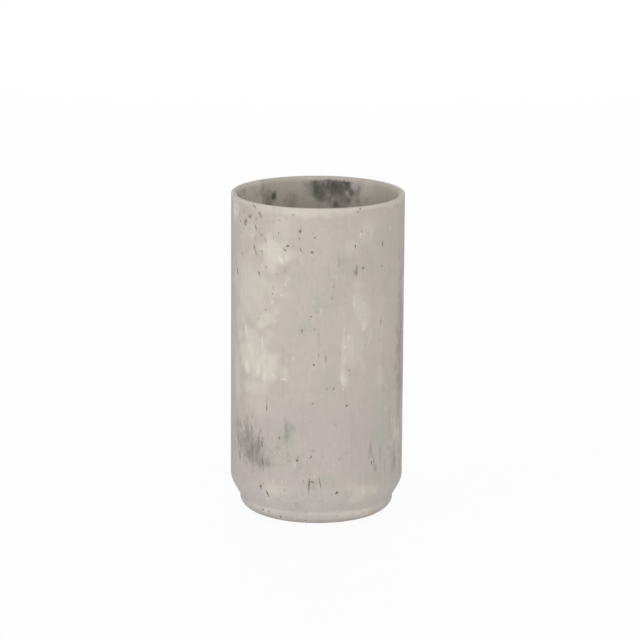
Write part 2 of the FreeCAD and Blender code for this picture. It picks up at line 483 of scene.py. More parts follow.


# %% [markdown]
# ## Clouds, flecks, smears and painted light
# The stone powder settles unevenly, so the wall has cream clouds, pale brushed flecks, dark smears and
# cool grey patches. Some marks are painted light and shade: highlights on the lip, light inside, shade
# down the sides and shadow among the stains inside. Each is painted as a soft number on the vertices, and
# the finish later breaks its edge up. Painting on vertices keeps the marks on the surface when the object
# moves or is exported.

# %% Where the clouds and flecks are
PALE_AND_LIP_HIGHLIGHTS = placed(
    (-48, 71, 13, 16, 0, 1.0), (-35, 66, 11, 9, 0, 0.85), (-52, 96, 22, 34, 0, 0.5),
    (-28, 90, 12, 20, 0, 0.12), (-31, 98, 8, 8, 0, 0.4), (-33, 80, 6, 5, 0, 0.4),
    (-66, 58, 6, 22, 0, 0.4), (46, 62, 6, 10, 0, 0.4), (-50, 120, 10, 8, 0, 0.45),
    (-24, 121, 10, 4, 0, 0.35), (22, 116, 6, 6, 0, 0.35), (30, 76, 6, 10, 0, 0.35),
    (-29, 113, 10, 9, -30, 0.85), (23, 77, 9, 17, 0, 0.45), (18, 63, 2.2, 7, 0, 0.7),
    (-70, 126, 5, 9, 0, 0.8), (-46, 57, 14, 8, 0, 0.6), (36, 80, 5, 9, 0, 0.35),
    (27, 84, 12, 17, 0, 0.35), (45, 82, 7, 22, 0, 0.35), (-57, 117, 8, 14, 0, 0.35),
    (17.5, 75, 2.2, 20, 0, 0.5), (32, 84, 2.5, 7, 0, 0.7), (24.5, 94, 2, 6, 0, 0.6),
    (-36, 86, 9, 6, -30, 0.6), (-28, 16.5, 11, 5.5, 0, 0.5), (32, 14, 9, 6, 0, 0.5),
    # Marks at the lip, 130 mm and higher: partly paler wear, partly painted highlight on the lip's
    # rounding
    (-12, 131, 26, 4.5, 0, 0.65), (-38, 130, 9, 3.5, 0, 0.45), (16, 131, 10, 2.4, 0, 0.6),
    (-44, 50, 14, 9, 0, 0.45), (30, 90, 9, 15, 0, 0.55), (32, 122, 8, 10, 0, 0.3), (24, 18, 5, 4, 0, 0.3),
    # The ring all round and the band at the back of the lip are painted highlight
    (-24, 126, 10, 6, 0, 0.4), (0, 131.5, ALL_ROUND, 2, 0, 0.55), (180, 131.5, 60, 2.5, 0, 0.5),
)
# Painted light inside: lit patches at the sides, a highlight along the back of the lip, paler near the
# mouth
INSIDE_PALE_AND_PAINTED_LIGHT = placed(
    (-118, 126, 14, 14, 0, 1.0), (0, 124, ALL_ROUND, 20, 0, 0.3), (142, 128, 6, 10, 0, 0.6),
    (180, 131.6, 48, 1.7, 0, 0.45),
)
FLECKS = placed(
    (-53.6, 79, 1.1, 4.6, -12, 0.95), (-49.6, 72.4, 1.5, 4.0, -30, 0.8), (-38.4, 76, 0.8, 5.8, 0, 0.75),
    (-53.2, 64.7, 2.4, 4.2, -10, 0.85), (-42.2, 63.5, 1.3, 4.6, 0, 0.8), (-37, 61.8, 1.4, 4.2, 0, 0.75),
    (-29.4, 62.7, 1.1, 2.8, -66, 0.9), (-22.3, 62.2, 0.9, 3.0, 82, 0.85),
    (-17.5, 61.8, 0.6, 1.2, -40, 0.7), (-48, 61.5, 1.2, 3.0, 80, 0.7), (-31, 72, 4.5, 2.5, -30, 0.5),
    (-25, 111, 1.2, 4.5, -40, 0.7), (-30.9, 93.2, 1.2, 2.4, -20, 0.75),
    (-30.2, 83.4, 0.9, 2.9, -64, 0.65), (-16.6, 92.8, 2.2, 3.2, -35, 0.45),
    (-21.1, 100.7, 0.65, 1.7, 0, 0.9), (-23.8, 96.3, 0.9, 1.0, 0, 0.75),
    (-32.1, 94.4, 0.7, 1.4, -20, 0.75), (-15.2, 121.6, 1.5, 1.1, 45, 0.85),
    (28.5, 120.7, 1.2, 1.6, 30, 0.8), (37.6, 121.3, 0.4, 2.4, 0, 0.65), (13, 104.4, 0.5, 2.8, 0, 0.6),
    (24.5, 92.6, 0.5, 2.5, 0, 0.8), (17.6, 89.3, 0.6, 0.8, 0, 0.8), (31.2, 86.2, 0.9, 0.9, 0, 0.75),
    (31.7, 83.2, 0.7, 2.8, -4, 0.5), (18.4, 75.6, 0.9, 1.1, 0, 0.95), (18, 81, 0.8, 7, 0, 0.5),
    (8.8, 80.1, 0.5, 0.6, 0, 0.8), (35.9, 76.3, 0.9, 0.9, 30, 0.9), (17.7, 62.5, 1.6, 5.0, 0, 0.9),
    (17.4, 58.4, 0.9, 1.8, -8, 0.9), (18, 70, 0.7, 4, 0, 0.5), (34.6, 14.6, 0.4, 1.6, 0, 0.65),
    (-23.2, 20.1, 0.55, 1.9, 0, 0.75), (-28.9, 20.1, 0.8, 1.6, 0, 0.65), (-5.5, 70.4, 1.7, 0.9, 70, 0.6),
    (-43.5, 128.6, 0.5, 2.2, -45, 0.85), (-52, 125, 0.6, 1.6, -20, 0.7),
    (-47.5, 118.5, 0.6, 1.8, -25, 0.6), (-57.5, 118, 0.7, 2.4, -15, 0.55),
    (-24, 109.8, 1.4, 2.6, -20, 0.6), (-60, 94, 1.0, 4.0, 0, 0.6), (-72, 126, 2.0, 3.4, 0, 0.7),
    (-3.6, 112.9, 0.7, 0.6, 0, 0.7), (36, 12, 2.5, 1.2, 70, 0.4), (-20, 15, 2.2, 1.2, 60, 0.5),
)
print("Clouds and flecks on the front:", len(PALE_AND_LIP_HIGHLIGHTS), "and", len(FLECKS))

# %% Where the smears, cool patches and stains are
SMEARS_AND_SIDE_SHADE = placed(
    (-46, 31, 13, 13, 0, 0.73), (-53, 35, 11, 11, 0, 0.66), (-62, 33, 6, 12, 0, 0.6),
    (-40, 27, 6, 9, 0, 0.5), (-22, 32, 12, 12, 0, 0.22), (-10, 28, 9, 8, 0, 0.3), (-6, 84, 7, 8, 0, 0.34),
    (38, 32, 3, 9, 0, 0.4), (-52, 119, 10, 11, 0, 0.2), (-20, 107.3, 5, 3, 0, 0.5),
    # Painted shade: the long upright bands at turns of 73° and -84° darken the sides
    (15, 110, 3, 6, 0, 0.3), (26.2, 107, 1.6, 4.2, 0, 0.65), (73, 70, 9, 80, 0, 0.5),
    (-84, 70, 4, 75, 0, 0.3), (70, 47, 6, 16, 0, 0.42), (63, 24, 6, 9, 0, 0.5), (-19, 41, 5, 8, 0, 0.52),
    (-66, 38, 5, 13, 0, 0.45), (-1, 20, 3.5, 4.5, 0, 0.4), (9.8, 96, 1.8, 1.3, 0, 0.55),
    (-14.3, 10.7, 2.4, 1.2, 0, 0.5), (25.3, 60.1, 2.2, 0.8, 0, 0.5), (-48.7, 16.9, 2.0, 1.3, 0, 0.45),
    (-11.5, 82.9, 2.4, 0.9, 0, 0.5), (-32.6, 125.8, 2.4, 2.0, 0, 0.4), (-21, 127.5, 0.8, 0.6, 0, 0.7),
    (43, 24, 1.6, 3.4, 0, 0.45), (-13, 29.5, 2.6, 1.4, 30, 0.4), (-31, 28, 5, 4, 0, 0.3),
)
HAIRS = placed(
    (-61.3, 40.2, 0.5, 5.0, 0, 0.85), (-47.2, 44.7, 0.4, 3.3, 18, 0.9), (-48.8, 40.2, 0.45, 2.2, 0, 0.9),
    (-53.1, 39.2, 0.45, 2.6, 0, 0.8), (-39.7, 39.4, 0.45, 3.2, 3, 0.9), (-45, 41, 0.3, 3.4, 8, 0.7),
    (-57, 42, 0.4, 4.0, 0, 0.6), (-50.5, 30, 0.5, 5.5, -18, 0.7), (-43.5, 31, 0.5, 4.5, -14, 0.7),
    (-54, 31, 0.6, 4.0, -10, 0.7), (46.9, 86.4, 0.25, 2.6, 0, 0.7), (25.4, 112, 0.3, 3.2, 0, 0.55),
    (-34.9, 49.6, 0.4, 3.0, 0, 0.6), (62, 30, 0.4, 5.0, 0, 0.5), (55, 52, 0.35, 6.0, 0, 0.45),
    (48, 66, 0.3, 5.0, 0, 0.45), (-26, 88, 0.3, 3.0, 0, 0.4), (7, 47, 0.25, 4.0, 0, 0.4),
    (-40.5, 127.6, 1.8, 2.6, -35, 0.6), (-51.5, 126, 1.5, 2.4, 50, 0.6),
    (-55.5, 123.2, 1.4, 2.8, -15, 0.7), (-44.5, 121.5, 1.1, 3.0, -15, 0.55),
    (-40.5, 119.3, 1.2, 2.2, 85, 0.6), (-45.2, 118.4, 1.0, 1.5, 30, 0.55),
    (-46.3, 113.8, 0.9, 3.2, -8, 0.5), (-43.5, 111, 1.1, 3.6, -30, 0.45),
    (-38.6, 112.3, 0.9, 1.7, 0, 0.45), (-26, 126.5, 0.9, 3.4, 75, 0.45), (-33, 124.5, 1.1, 2.8, 0, 0.35),
    (-60.5, 118.5, 1.2, 1.6, 0, 0.4), (38.5, 33, 1.0, 9, 2, 0.55), (41, 25, 0.7, 6, 0, 0.6),
    (47, 31, 0.9, 9, -2, 0.5), (64, 26, 1.6, 9, 0, 0.65), (67, 36, 1.0, 11, 0, 0.55),
    (57, 42, 0.8, 9, 0, 0.45), (52, 24, 0.8, 5, 0, 0.45),
)
COOL = placed(
    (2, 94, 9, 9, 0, 0.55), (15, 110, 8, 9, 0, 0.45), (-19, 38, 6.5, 8, 0, 0.85), (7, 61, 6, 7, 0, 0.5),
    # The long bands near the sides, at turns of -76° and 80°, are partly painted shade that darkens the
    # sides
    (54, 44, 12, 30, 0, 0.65), (-76, 100, 8, 45, 0, 0.6), (-76, 40, 7, 40, 0, 0.45),
    (80, 38, 8, 48, 0, 0.6), (38, 111, 6, 11, 0, 0.5), (-21, 31, 14, 13, 0, 0.6), (9, 21, 6, 6, 0, 0.7),
    (-10, 104, 8, 6, 0, 0.4), (43, 20, 8, 7, 0, 0.7), (-9, 84, 9, 8, 0, 0.55),
)
INSIDE_COOL = placed((0, 112, ALL_ROUND, 40, 0, 0.3))
# Dark stains on the inside, near the back of the lip, with painted shadow from things that stood in the
# cup
STAINS_AND_PAINTED_SHADOW = placed(
    (168, 127.5, 11.5, 12, 0, 0.82), (178, 127, 10, 12, 0, 0.72), (162, 124, 6, 10, 0, 0.6),
    (168, 128, 4.4, 3.2, 0, 1.0), (163.5, 129.2, 2.8, 2.2, 0, 0.9), (159, 129.5, 3.4, 2.6, -30, 1.0),
    (155.3, 125.6, 2.0, 3.6, 0, 0.85), (180, 127.6, 3.4, 4.0, 0, 0.68), (166, 120, 5.5, 3.5, 0, 0.62),
    (-141, 124.5, 7, 7.5, 0, 0.58), (-145.5, 125, 2.4, 3.8, 0, 0.85), (-142, 120.5, 4.5, 3, 0, 0.7),
    (-112, 129.5, 0.9, 2.6, 0, 0.8), (-136, 129, 0.9, 2.0, -20, 0.7), (-160, 122, 8, 8, 0, 0.45),
    (149, 123, 0.9, 2.0, 0, 0.7), (142, 123.5, 0.6, 2.4, -35, 0.6), (152, 124.5, 5.5, 8, 0, 0.42),
)
print("Smears and cool patches on the front:", len(SMEARS_AND_SIDE_SHADE) + len(HAIRS), "and", len(COOL))

# %% Scatter more clouds, flecks and smears
# Areas, as turns in degrees and heights in millimetres
HAIRED_LIP = ((-64, -40), (110, 129))
HAIRED_SMUDGE = ((-66, -37), (24, 41))
HAIRED_SHOULDER = ((-42, 24), (9, 36))
HAIRED_FRONT = ((-60, 60), (36, 126))
FLECKED_SHOULDER = ((-42, 14), (8, 36))
FLECKED_FRONT = ((-60, 60), (40, 127))

PALE_AND_LIP_HIGHLIGHTS += scattered(16, SIDES_AND_BACK, (5, 14), (0.8, 2.0), (-10, 10), (0.35, 0.65))
FLECKS += scattered(60, SIDES_AND_BACK, (0.4, 1.2), (1.2, 6), (-35, 15), (0.5, 0.95))
SMEARS_AND_SIDE_SHADE += scattered(10, SIDES_AND_BACK, (2, 7), (0.9, 2.2), (-12, 12), (0.35, 0.75))
HAIRS += scattered(18, HAIRED_LIP, (0.4, 0.9), (1.5, 4), (-60, -15), (0.35, 0.65))
HAIRS += scattered(44, HAIRED_SMUDGE, (0.4, 1.2), (3, 7), (-25, 18), (0.35, 0.75))
HAIRS += scattered(24, SIDES_AND_BACK, (0.25, 0.5), (6, 14), (-14, 14), (0.4, 0.85))
FLECKS += scattered(26, FLECKED_SHOULDER, (0.5, 1.3), (0.8, 2.4), (-60, 60), (0.5, 0.8))
FLECKS += scattered(34, FLECKED_FRONT, (0.5, 1.2), (1, 4), (-25, 15), (0.45, 0.75))
HAIRS += scattered(20, HAIRED_SHOULDER, (0.5, 1.1), (0.8, 2.4), (-60, 60), (0.35, 0.6))
HAIRS += scattered(26, HAIRED_FRONT, (0.5, 1.0), (1, 4), (-20, 10), (0.3, 0.55))
COOL += scattered(12, SIDES_AND_BACK, (5, 11), (0.8, 2.4), (-10, 10), (0.25, 0.5))
print("Marks to paint on the outside:", sum(map(len, (PALE_AND_LIP_HIGHLIGHTS, FLECKS, SMEARS_AND_SIDE_SHADE, HAIRS, COOL))))

# %% Work the marks into the shell
CLOUD_RAGGED = 0.75  # how strongly noise warps an edge
CLOUD_GRAIN = 4.5 * MM  # and how coarse that noise is
FLECK_RAGGED = 0.5
FLECK_GRAIN = 1.4 * MM
STAIN_AND_SHADOW_GRAIN = 2.4 * MM
PAINT_CORE = 0.1  # share of a painted mark that has its full strength


def inside_r(height):
    """Radius of the shell's inside at a height."""
    return bore_r + (mouth_r - bore_r) * (height - floor_z) / (lip_z - floor_z)


def paint(bm, name, marks, radius_at, ragged, grain, outside=True):
    """Paints soft marks into a layer, on the outside or on the inside."""
    layer = bm.verts.layers.float[name]
    bm.verts.ensure_lookup_table()
    tree = tree_of([vert.co for vert in bm.verts])
    for mark in marks:
        for vert in near_vertices(bm, tree, mark, radius_at, WARP_REACH, outside):
            amount = mark.strength * fade(spread(vert.co, mark, ragged, grain), PAINT_CORE)
            vert[layer] = max(vert[layer], amount)


divide_under(shell, pits + FLECKS + HAIRS, shell_r)
moved = sink_pits(shell, pits, shell_r)
shell.normal_update()
paint(shell, "pale", PALE_AND_LIP_HIGHLIGHTS, shell_r, CLOUD_RAGGED, CLOUD_GRAIN)
paint(shell, "fleck", FLECKS, shell_r, FLECK_RAGGED, FLECK_GRAIN)
paint(shell, "smear_and_shade", SMEARS_AND_SIDE_SHADE, shell_r, CLOUD_RAGGED, CLOUD_GRAIN)
paint(shell, "smear_and_shade", HAIRS, shell_r, FLECK_RAGGED, FLECK_GRAIN)
paint(shell, "cool", COOL, shell_r, CLOUD_RAGGED, CLOUD_GRAIN)
paint(shell, "pale", INSIDE_PALE_AND_PAINTED_LIGHT, inside_r, CLOUD_RAGGED, CLOUD_GRAIN, outside=False)
paint(shell, "cool", INSIDE_COOL, inside_r, CLOUD_RAGGED, CLOUD_GRAIN, outside=False)
paint(shell, "stain_and_shadow", STAINS_AND_PAINTED_SHADOW, inside_r, CLOUD_RAGGED, STAIN_AND_SHADOW_GRAIN, outside=False)
print("Shell with its marks:", len(shell.faces), "faces,", moved, "vertices pushed in")

# %% [markdown]
# ## The shell's skin, unrolled
# A spun piece unrolls like a label: one side of the map is the turn, the other the way along the
# section. That gives every face its own room on the map, with one seam at the back and one at the socket.

# %% Unroll the skin
MAP_MARGIN = 0.005
MAP_SPAN = 1 - 2 * MAP_MARGIN
SHARP_CORNER = math.radians(50)  # faces that meet at more than this show an edge


def unroll(bm, length):
    """Adds a UV map of turn against the way along the section."""
    along = bm.verts.layers.float["along"]
    uv = bm.loops.layers.uv.new("OFBake")
    for face in bm.faces:
        centre = turn_of(face.calc_center_median())
        ways = [loop.vert[along] for loop in face.loops]
        wraps = max(ways) - min(ways) > length / 2
        for loop, way in zip(face.loops, ways):
            on_axis = loop.vert.co.xy.length < NEAR
            apart = 0 if on_axis else (turn_of(loop.vert.co) - centre + 180) % 360 - 180
            u = (centre + apart + 180) / 360
            v = (way + length if wraps and way < length / 2 else way) / length
            loop[uv].uv = (MAP_MARGIN + u * MAP_SPAN, MAP_MARGIN + v * MAP_SPAN)


def finished_piece(bm, name, node):
    """Makes an object of a bmesh, smooth with sharp corners, that stands for a construction node."""
    mesh = bpy.data.meshes.new(name)
    bm.to_mesh(mesh)
    bm.free()
    mesh.shade_smooth()
    mesh.set_sharp_from_angle(angle=SHARP_CORNER)
    piece = bpy.data.objects.new(name, mesh)
    bpy.context.collection.objects.link(piece)
    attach(piece, "root")
    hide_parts(node)
    triangles = sum(len(face.vertices) - 2 for face in mesh.polygons)
    print(name, "has", triangles, "triangles")
    return piece


unroll(shell, shell_length)
stone_shell = finished_piece(shell, "stone_shell", "tumbler_shell")

# %% [markdown]
# ## The foot
# The foot's lower edge is a quarter of an ellipse, longer along the underside than up the side. A bevel
# makes circles, so the section is stretched until the ellipse is a circle, bevelled, and shrunk back.
# The spigot, the sealant's groove and the pad's recess are there too, though they hardly show.

# %% Draw the foot
FOOT_EDGE_REACH = 8.2 * MM
FOOT_EDGE_RISE = 5.6 * MM
PAD_CLEARANCE = 0.3 * MM
SPIGOT_ROUND = 0.4 * MM
FOOT_DIP_RISE = 1.1 * MM
FOOT_STEPS = 256

recess_r = pad_r + PAD_CLEARANCE
groove_inner_r = min(radii("bond_bead", bead_low[2], bead_high[2]))
groove_outer_r = bead_high[0]
groove_z = bead_low[2]

foot = new_piece()
section_wire(foot, [
    (0, recess_z),
    (recess_r, recess_z),
    (recess_r, underside_z),
    (foot_r, underside_z),
    (foot_r, crease_z),
    (groove_outer_r, crease_z),
    (groove_outer_r, groove_z),
    (groove_inner_r, groove_z),
    (groove_inner_r, crease_z),
    (spigot_r, crease_z),
    (spigot_r, floor_z),
    (0, floor_z),
], closed=False)
stretch = FOOT_EDGE_REACH / FOOT_EDGE_RISE
bmesh.ops.scale(foot, vec=(1, 1, stretch), verts=foot.verts)
round_corner(foot, foot_r, underside_z * stretch, FOOT_EDGE_REACH, segments=12)
bmesh.ops.scale(foot, vec=(1, 1, 1 / stretch), verts=foot.verts)
round_corner(foot, spigot_r, floor_z, SPIGOT_ROUND, segments=3)
divide(foot, row_height)
draw_in(foot, FOOT_DIP_RISE)
foot_length = measure_along(foot, corner_at(foot, 0, recess_z))
spin_once_round(foot, FOOT_STEPS)
print("Foot:", len(foot.faces), "faces")

# %% [markdown]
# ## Marks on the foot
# The foot is cast from the same mix, so it has pits and clouds too. The radius at a height follows the
# ellipse of its edge. Painted light from the floor that pales the lowest part comes later, with the
# finish.

# %% Work the marks into the foot
FOOT_PITS = placed(
    (-44, 5.3, 0.5, 0.5, 0, 1), (-37.7, 5.2, 0.35, 0.9, -10, 0.9), (-28.1, 3.5, 0.6, 0.6, 0, 0.9),
    (-7.7, 2.9, 0.5, 0.45, 0, 0.9), (15.8, 5, 0.45, 0.4, 0, 0.6), (38.1, 5, 0.5, 0.5, 0, 0.8),
    (52, 3.6, 0.4, 0.5, 0, 0.7),
)
FOOT_PALE = placed(
    (-39.8, 5.6, 2.6, 1.6, 0, 0.8), (24, 5, 6, 2.5, 0, 0.6), (37, 5, 7, 2.5, 0, 0.7),
)
FOOT_AREA = (SIDES_AND_BACK[0], (2, 5.5))


def foot_side_r(height):
    """Radius of the foot's outside at a height."""
    below = max(0.0, 1 - (height - underside_z) / FOOT_EDGE_RISE)
    return foot_r - FOOT_EDGE_REACH * (1 - math.sqrt(max(0.0, 1 - below * below)))


foot_pits = FOOT_PITS + scattered(16, FOOT_AREA, (0.25, 0.6), (0.7, 1.4), (-60, 60), (0.6, 1))
divide_under(foot, foot_pits, foot_side_r)
moved = sink_pits(foot, foot_pits, foot_side_r)
foot.normal_update()
paint(foot, "pale", FOOT_PALE, foot_side_r, CLOUD_RAGGED, CLOUD_GRAIN)
paint(foot, "cool", COOL, foot_side_r, CLOUD_RAGGED, CLOUD_GRAIN)
print("Foot with its marks:", len(foot.faces), "faces,", moved, "vertices pushed in")
unroll(foot, foot_length)
stone_foot = finished_piece(foot, "stone_foot", "base_foot")

# %% [markdown]
# ## The pad
# A solid rubber disc under the foot keeps the tumbler from sliding. Only its rounded edge shows, as a
# thin dark line, so a plain section with one rounded corner is enough.

# %% Draw the pad
PAD_EDGE_ROUND = 0.3 * MM
PAD_STEPS = 128

pad = new_piece()
section_wire(pad, [
    (0, pad_low[2]),
    (pad_r, pad_low[2]),
    (pad_r, pad_high[2]),
    (0, pad_high[2]),
], closed=False)
round_corner(pad, pad_r, pad_low[2], PAD_EDGE_ROUND, segments=4)
divide(pad, lambda middle: ROW_INSIDE)
spin_once_round(pad, PAD_STEPS)
rubber_pad = finished_piece(pad, "rubber_pad", "non_slip_pad")

# %% [markdown]
# ## Writing finishes as sums
# A finish is a graph of nodes, and its maths reads best as ordinary sums. A small class wraps a socket,
# and each sum on it adds one Math node. Everything else comes from one method, which sets a node's own
# settings first and then fills its sockets with values or links.


# %% Helpers for finishes
class Field:
    """A value that changes over the surface. Sums on it add Math nodes."""

    def __init__(self, finish, socket):
        self.finish = finish
        self.socket = socket

    def _sum(self, operation, first, second):
        node = self.finish.add("ShaderNodeMath", {"operation": operation}, {0: first, 1: second})
        return Field(self.finish, node.outputs[0])

    def __add__(self, other):
        return self._sum("ADD", self, other)

    def __radd__(self, other):
        return self._sum("ADD", other, self)

    def __sub__(self, other):
        return self._sum("SUBTRACT", self, other)

    def __rsub__(self, other):
        return self._sum("SUBTRACT", other, self)

    def __mul__(self, other):
        return self._sum("MULTIPLY", self, other)

    def __rmul__(self, other):
        return self._sum("MULTIPLY", other, self)


class Finish:
    """A material with short ways to add nodes to it."""

    def __init__(self, name, tree_owner=None):
        owner = tree_owner or bpy.data.materials.new(name)
        owner.use_nodes = True
        self.owner = owner
        self.tree = owner.node_tree
        self.tree.nodes.clear()

    def add(self, kind, settings=None, sockets=None):
        """Adds a node, sets its settings, then gives its sockets values or links."""
        node = self.tree.nodes.new(kind)
        for name, value in (settings or {}).items():
            setattr(node, name, value)
        for name, value in (sockets or {}).items():
            socket = self.socket(node, name)
            if isinstance(value, Field):
                value = value.socket
            if isinstance(value, bpy.types.NodeSocket):
                self.tree.links.new(value, socket)
            else:
                socket.default_value = value
        return node

    def socket(self, node, name):
        """The socket in use with that name, or at that place."""
        if isinstance(name, int):
            return node.inputs[name]
        return next(s for s in node.inputs if s.name == name and s.enabled)

    def place(self, stretch=(1, 1, 1), shift=0.0):
        """Object coordinates in millimetres, stretched along each axis and shifted."""
        coordinates = self.add("ShaderNodeTexCoord").outputs["Object"]
        scale = tuple(1 / (MM * s) for s in stretch)
        mapping = self.add(
            "ShaderNodeMapping", None,
            {"Vector": coordinates, "Location": (shift, shift, shift), "Scale": scale},
        )
        return mapping.outputs[0]

    def mottle(self, size, upright=1.0, detail=3.0, roughness=0.55, shift=0.0, twist=0.0):
        """Noise round 0.5 with blotches of about that size in millimetres, drawn out along Z."""
        node = self.add("ShaderNodeTexNoise", None, {
            "Vector": self.place((1, 1, upright), shift),
            "Scale": 1 / size,
            "Detail": detail,
            "Roughness": roughness,
            "Distortion": twist,
        })
        return Field(self, node.outputs[0])

    def height(self):
        """Height above the standing surface, in millimetres."""
        return Field(self, self.add("ShaderNodeSeparateXYZ", None, {"Vector": self.place()}).outputs["Z"])

    def painted(self, name):
        """A float layer that was painted on the mesh."""
        return Field(self, self.add("ShaderNodeAttribute", {"attribute_name": name}).outputs["Fac"])

    def rise(self, field, low, high, top=1.0):
        """0 below low, top above high, and a smooth rise between."""
        node = self.add(
            "ShaderNodeMapRange", {"interpolation_type": "SMOOTHSTEP"},
            {"Value": field, "From Min": low, "From Max": high, "To Min": 0.0, "To Max": top},
        )
        return Field(self, node.outputs[0])

    def mix(self, amount, under, over):
        """One colour over another."""
        node = self.add(
            "ShaderNodeMix", {"data_type": "RGBA", "clamp_factor": True},
            {"Factor": amount, "A": under, "B": over},
        )
        return next(s for s in node.outputs if s.enabled)

    def surface(self, sockets):
        """The finish's own surface, from the values and links of its sockets."""
        shader = self.add("ShaderNodeBsdfPrincipled", None, sockets)
        self.add("ShaderNodeOutputMaterial", None, {"Surface": shader.outputs[0]})


# %% [markdown]
# ## The stone
# The stone is a warm grey, drifting to cream, pink and a cool grey over a few centimetres, with fine
# upright streaks from rubbing down. Noise is read from Object coordinates, so the pattern runs through
# lip, wall and foot without a seam. Stretching the noise along Z makes the streaks.

# %% Make the stone's colours and noises
WARM_GREY = (0.535, 0.484, 0.434, 1)
CREAM = (0.690, 0.640, 0.560, 1)
PALE_FLECK = (0.750, 0.700, 0.620, 1)
PINK_GREY = (0.528, 0.472, 0.446, 1)
COOL_GREY = (0.470, 0.464, 0.405, 1)
PAINTED_FLOOR_LIGHT_GREY = (0.572, 0.534, 0.503, 1)
SMEAR_AND_SHADE_GREY = (0.240, 0.213, 0.195, 1)
SPECK_AND_PIT_SHADE_BROWN = (0.150, 0.128, 0.112, 1)
STAIN_AND_SHADOW_GREY = (0.085, 0.080, 0.070, 1)

stone = Finish("cast_stone")
clouds = stone.mottle(34, upright=1.5)
drift = stone.mottle(26, upright=1.6, shift=40.0)
blotches = stone.mottle(9, upright=1.5, detail=4, roughness=0.6, shift=80.0, twist=0.6)
wisps = stone.mottle(4.2, upright=1.8, detail=4, roughness=0.65, shift=120.0, twist=2.0)
specks = stone.mottle(1.9, upright=1.8, detail=3, roughness=0.6, shift=160.0, twist=1.2)
streaks = stone.mottle(1.3, upright=16, detail=2, roughness=0.5)
grain = stone.mottle(0.5, upright=2.5, detail=2, roughness=0.6)
print("Stone noises:", len(stone.tree.nodes), "nodes")

# %% Lay the stone's colours over each other
# Heights in millimetres between which a colour sets in, downwards
PINK_HEIGHTS = (62, 30)
PAINTED_FLOOR_LIGHT_HEIGHTS = (20, 9)

low = stone.rise(stone.height(), *PINK_HEIGHTS)
colour = stone.mix(stone.rise(drift + 0.2 * low, 0.50, 0.70), WARM_GREY, PINK_GREY)
cool = stone.painted("cool") + 0.9 * (blotches - 0.5) + 0.6 * (0.5 - drift)
colour = stone.mix(stone.rise(cool, 0.05, 0.85, top=0.8), colour, COOL_GREY)
# Painted light: from 20 mm down the stone turns paler, as if lit from the white floor below
colour = stone.mix(stone.rise(stone.height(), *PAINTED_FLOOR_LIGHT_HEIGHTS, top=0.85), colour, PAINTED_FLOOR_LIGHT_GREY)
# The pale layer holds the cream clouds and also painted highlights on the lip and painted light inside
pale = stone.painted("pale")
cream = pale + 0.9 * (blotches - 0.5) + 0.6 * (clouds - 0.5) + 0.9 * (wisps - 0.5)
colour = stone.mix(stone.rise(cream, 0.0, 0.75, top=0.8), colour, CREAM)
fleck = stone.painted("fleck") + 0.35 * pale + 0.9 * (wisps - 0.5) + 0.9 * (specks - 0.5)
colour = stone.mix(stone.rise(fleck, 0.30, 1.0, top=0.8), colour, PALE_FLECK)
print("Stone finish with its clouds:", len(stone.tree.nodes), "nodes")

# %% Lay the dark marks over them
# The painted shadow inside sets in at the same heights as the stains
STAIN_AND_SHADOW_HEIGHTS = (131.3, 130.2)  # the stains set in below the lip

dull = 0.6 * wisps + 0.4 * blotches
colour = stone.mix(stone.rise(dull, 0.42, 0.66, top=0.16), colour, SMEAR_AND_SHADE_GREY)
# Dark smears, hairs and the rings round pits, with painted shade down the sides
smear_and_shade = stone.painted("smear_and_shade") + 0.9 * (wisps - 0.5) + 0.5 * (streaks - 0.5)
colour = stone.mix(stone.rise(smear_and_shade, 0.14, 0.95, top=0.85), colour, SMEAR_AND_SHADE_GREY)
# Dark stains on the inside, partly painted shadow cast by things that stood in the cup
stain_and_shadow = stone.painted("stain_and_shadow") + 0.5 * (blotches - 0.5) + 0.5 * (wisps - 0.5) + 0.4 * (specks - 0.5)
clear_of_lip = stone.rise(stone.height() + 3.6 * (wisps - 0.5), *STAIN_AND_SHADOW_HEIGHTS)
colour = stone.mix(stone.rise(stain_and_shadow, 0.12, 0.95, top=0.9) * clear_of_lip, colour, STAIN_AND_SHADOW_GREY)
rubbed = streaks + 0.6 * (blotches - 0.5)
colour = stone.mix(stone.rise(rubbed, 0.55, 0.78, top=0.11), colour, SMEAR_AND_SHADE_GREY)
colour = stone.mix(stone.rise(grain, 0.60, 0.80, top=0.20), colour, SMEAR_AND_SHADE_GREY)
# Dark specks in the pits, partly painted shade in the hollows
colour = stone.mix(stone.rise(stone.painted("pit"), 0.10, 0.85, top=0.8), colour, SPECK_AND_PIT_SHADE_BROWN)
print("Stone finish with its dark marks:", len(stone.tree.nodes), "nodes")

# %% Dress the shell and the foot
relief = 0.6 * streaks + 0.4 * grain
bump = stone.add("ShaderNodeBump", None, {"Strength": 0.25, "Distance": 0.08 * MM, "Height": relief})
stone.surface({
    "Base Color": colour,
    "Roughness": 0.72 + 0.2 * (blotches - 0.5) + 0.15 * stone.painted("pit"),
    "Specular IOR Level": 0.12,
    "Normal": bump.outputs[0],
})
for piece in (stone_shell, stone_foot):
    piece.data.materials.append(stone.owner)
print("Stone finish in all:", len(stone.tree.nodes), "nodes")

# %% [markdown]
# ## Rubber, sealant and film
# The pad is matt dark rubber with a fine grain. The sealant and the adhesive film lie between the other
# pieces and never show, but they get finishes of their own, for whoever takes the tumbler apart.


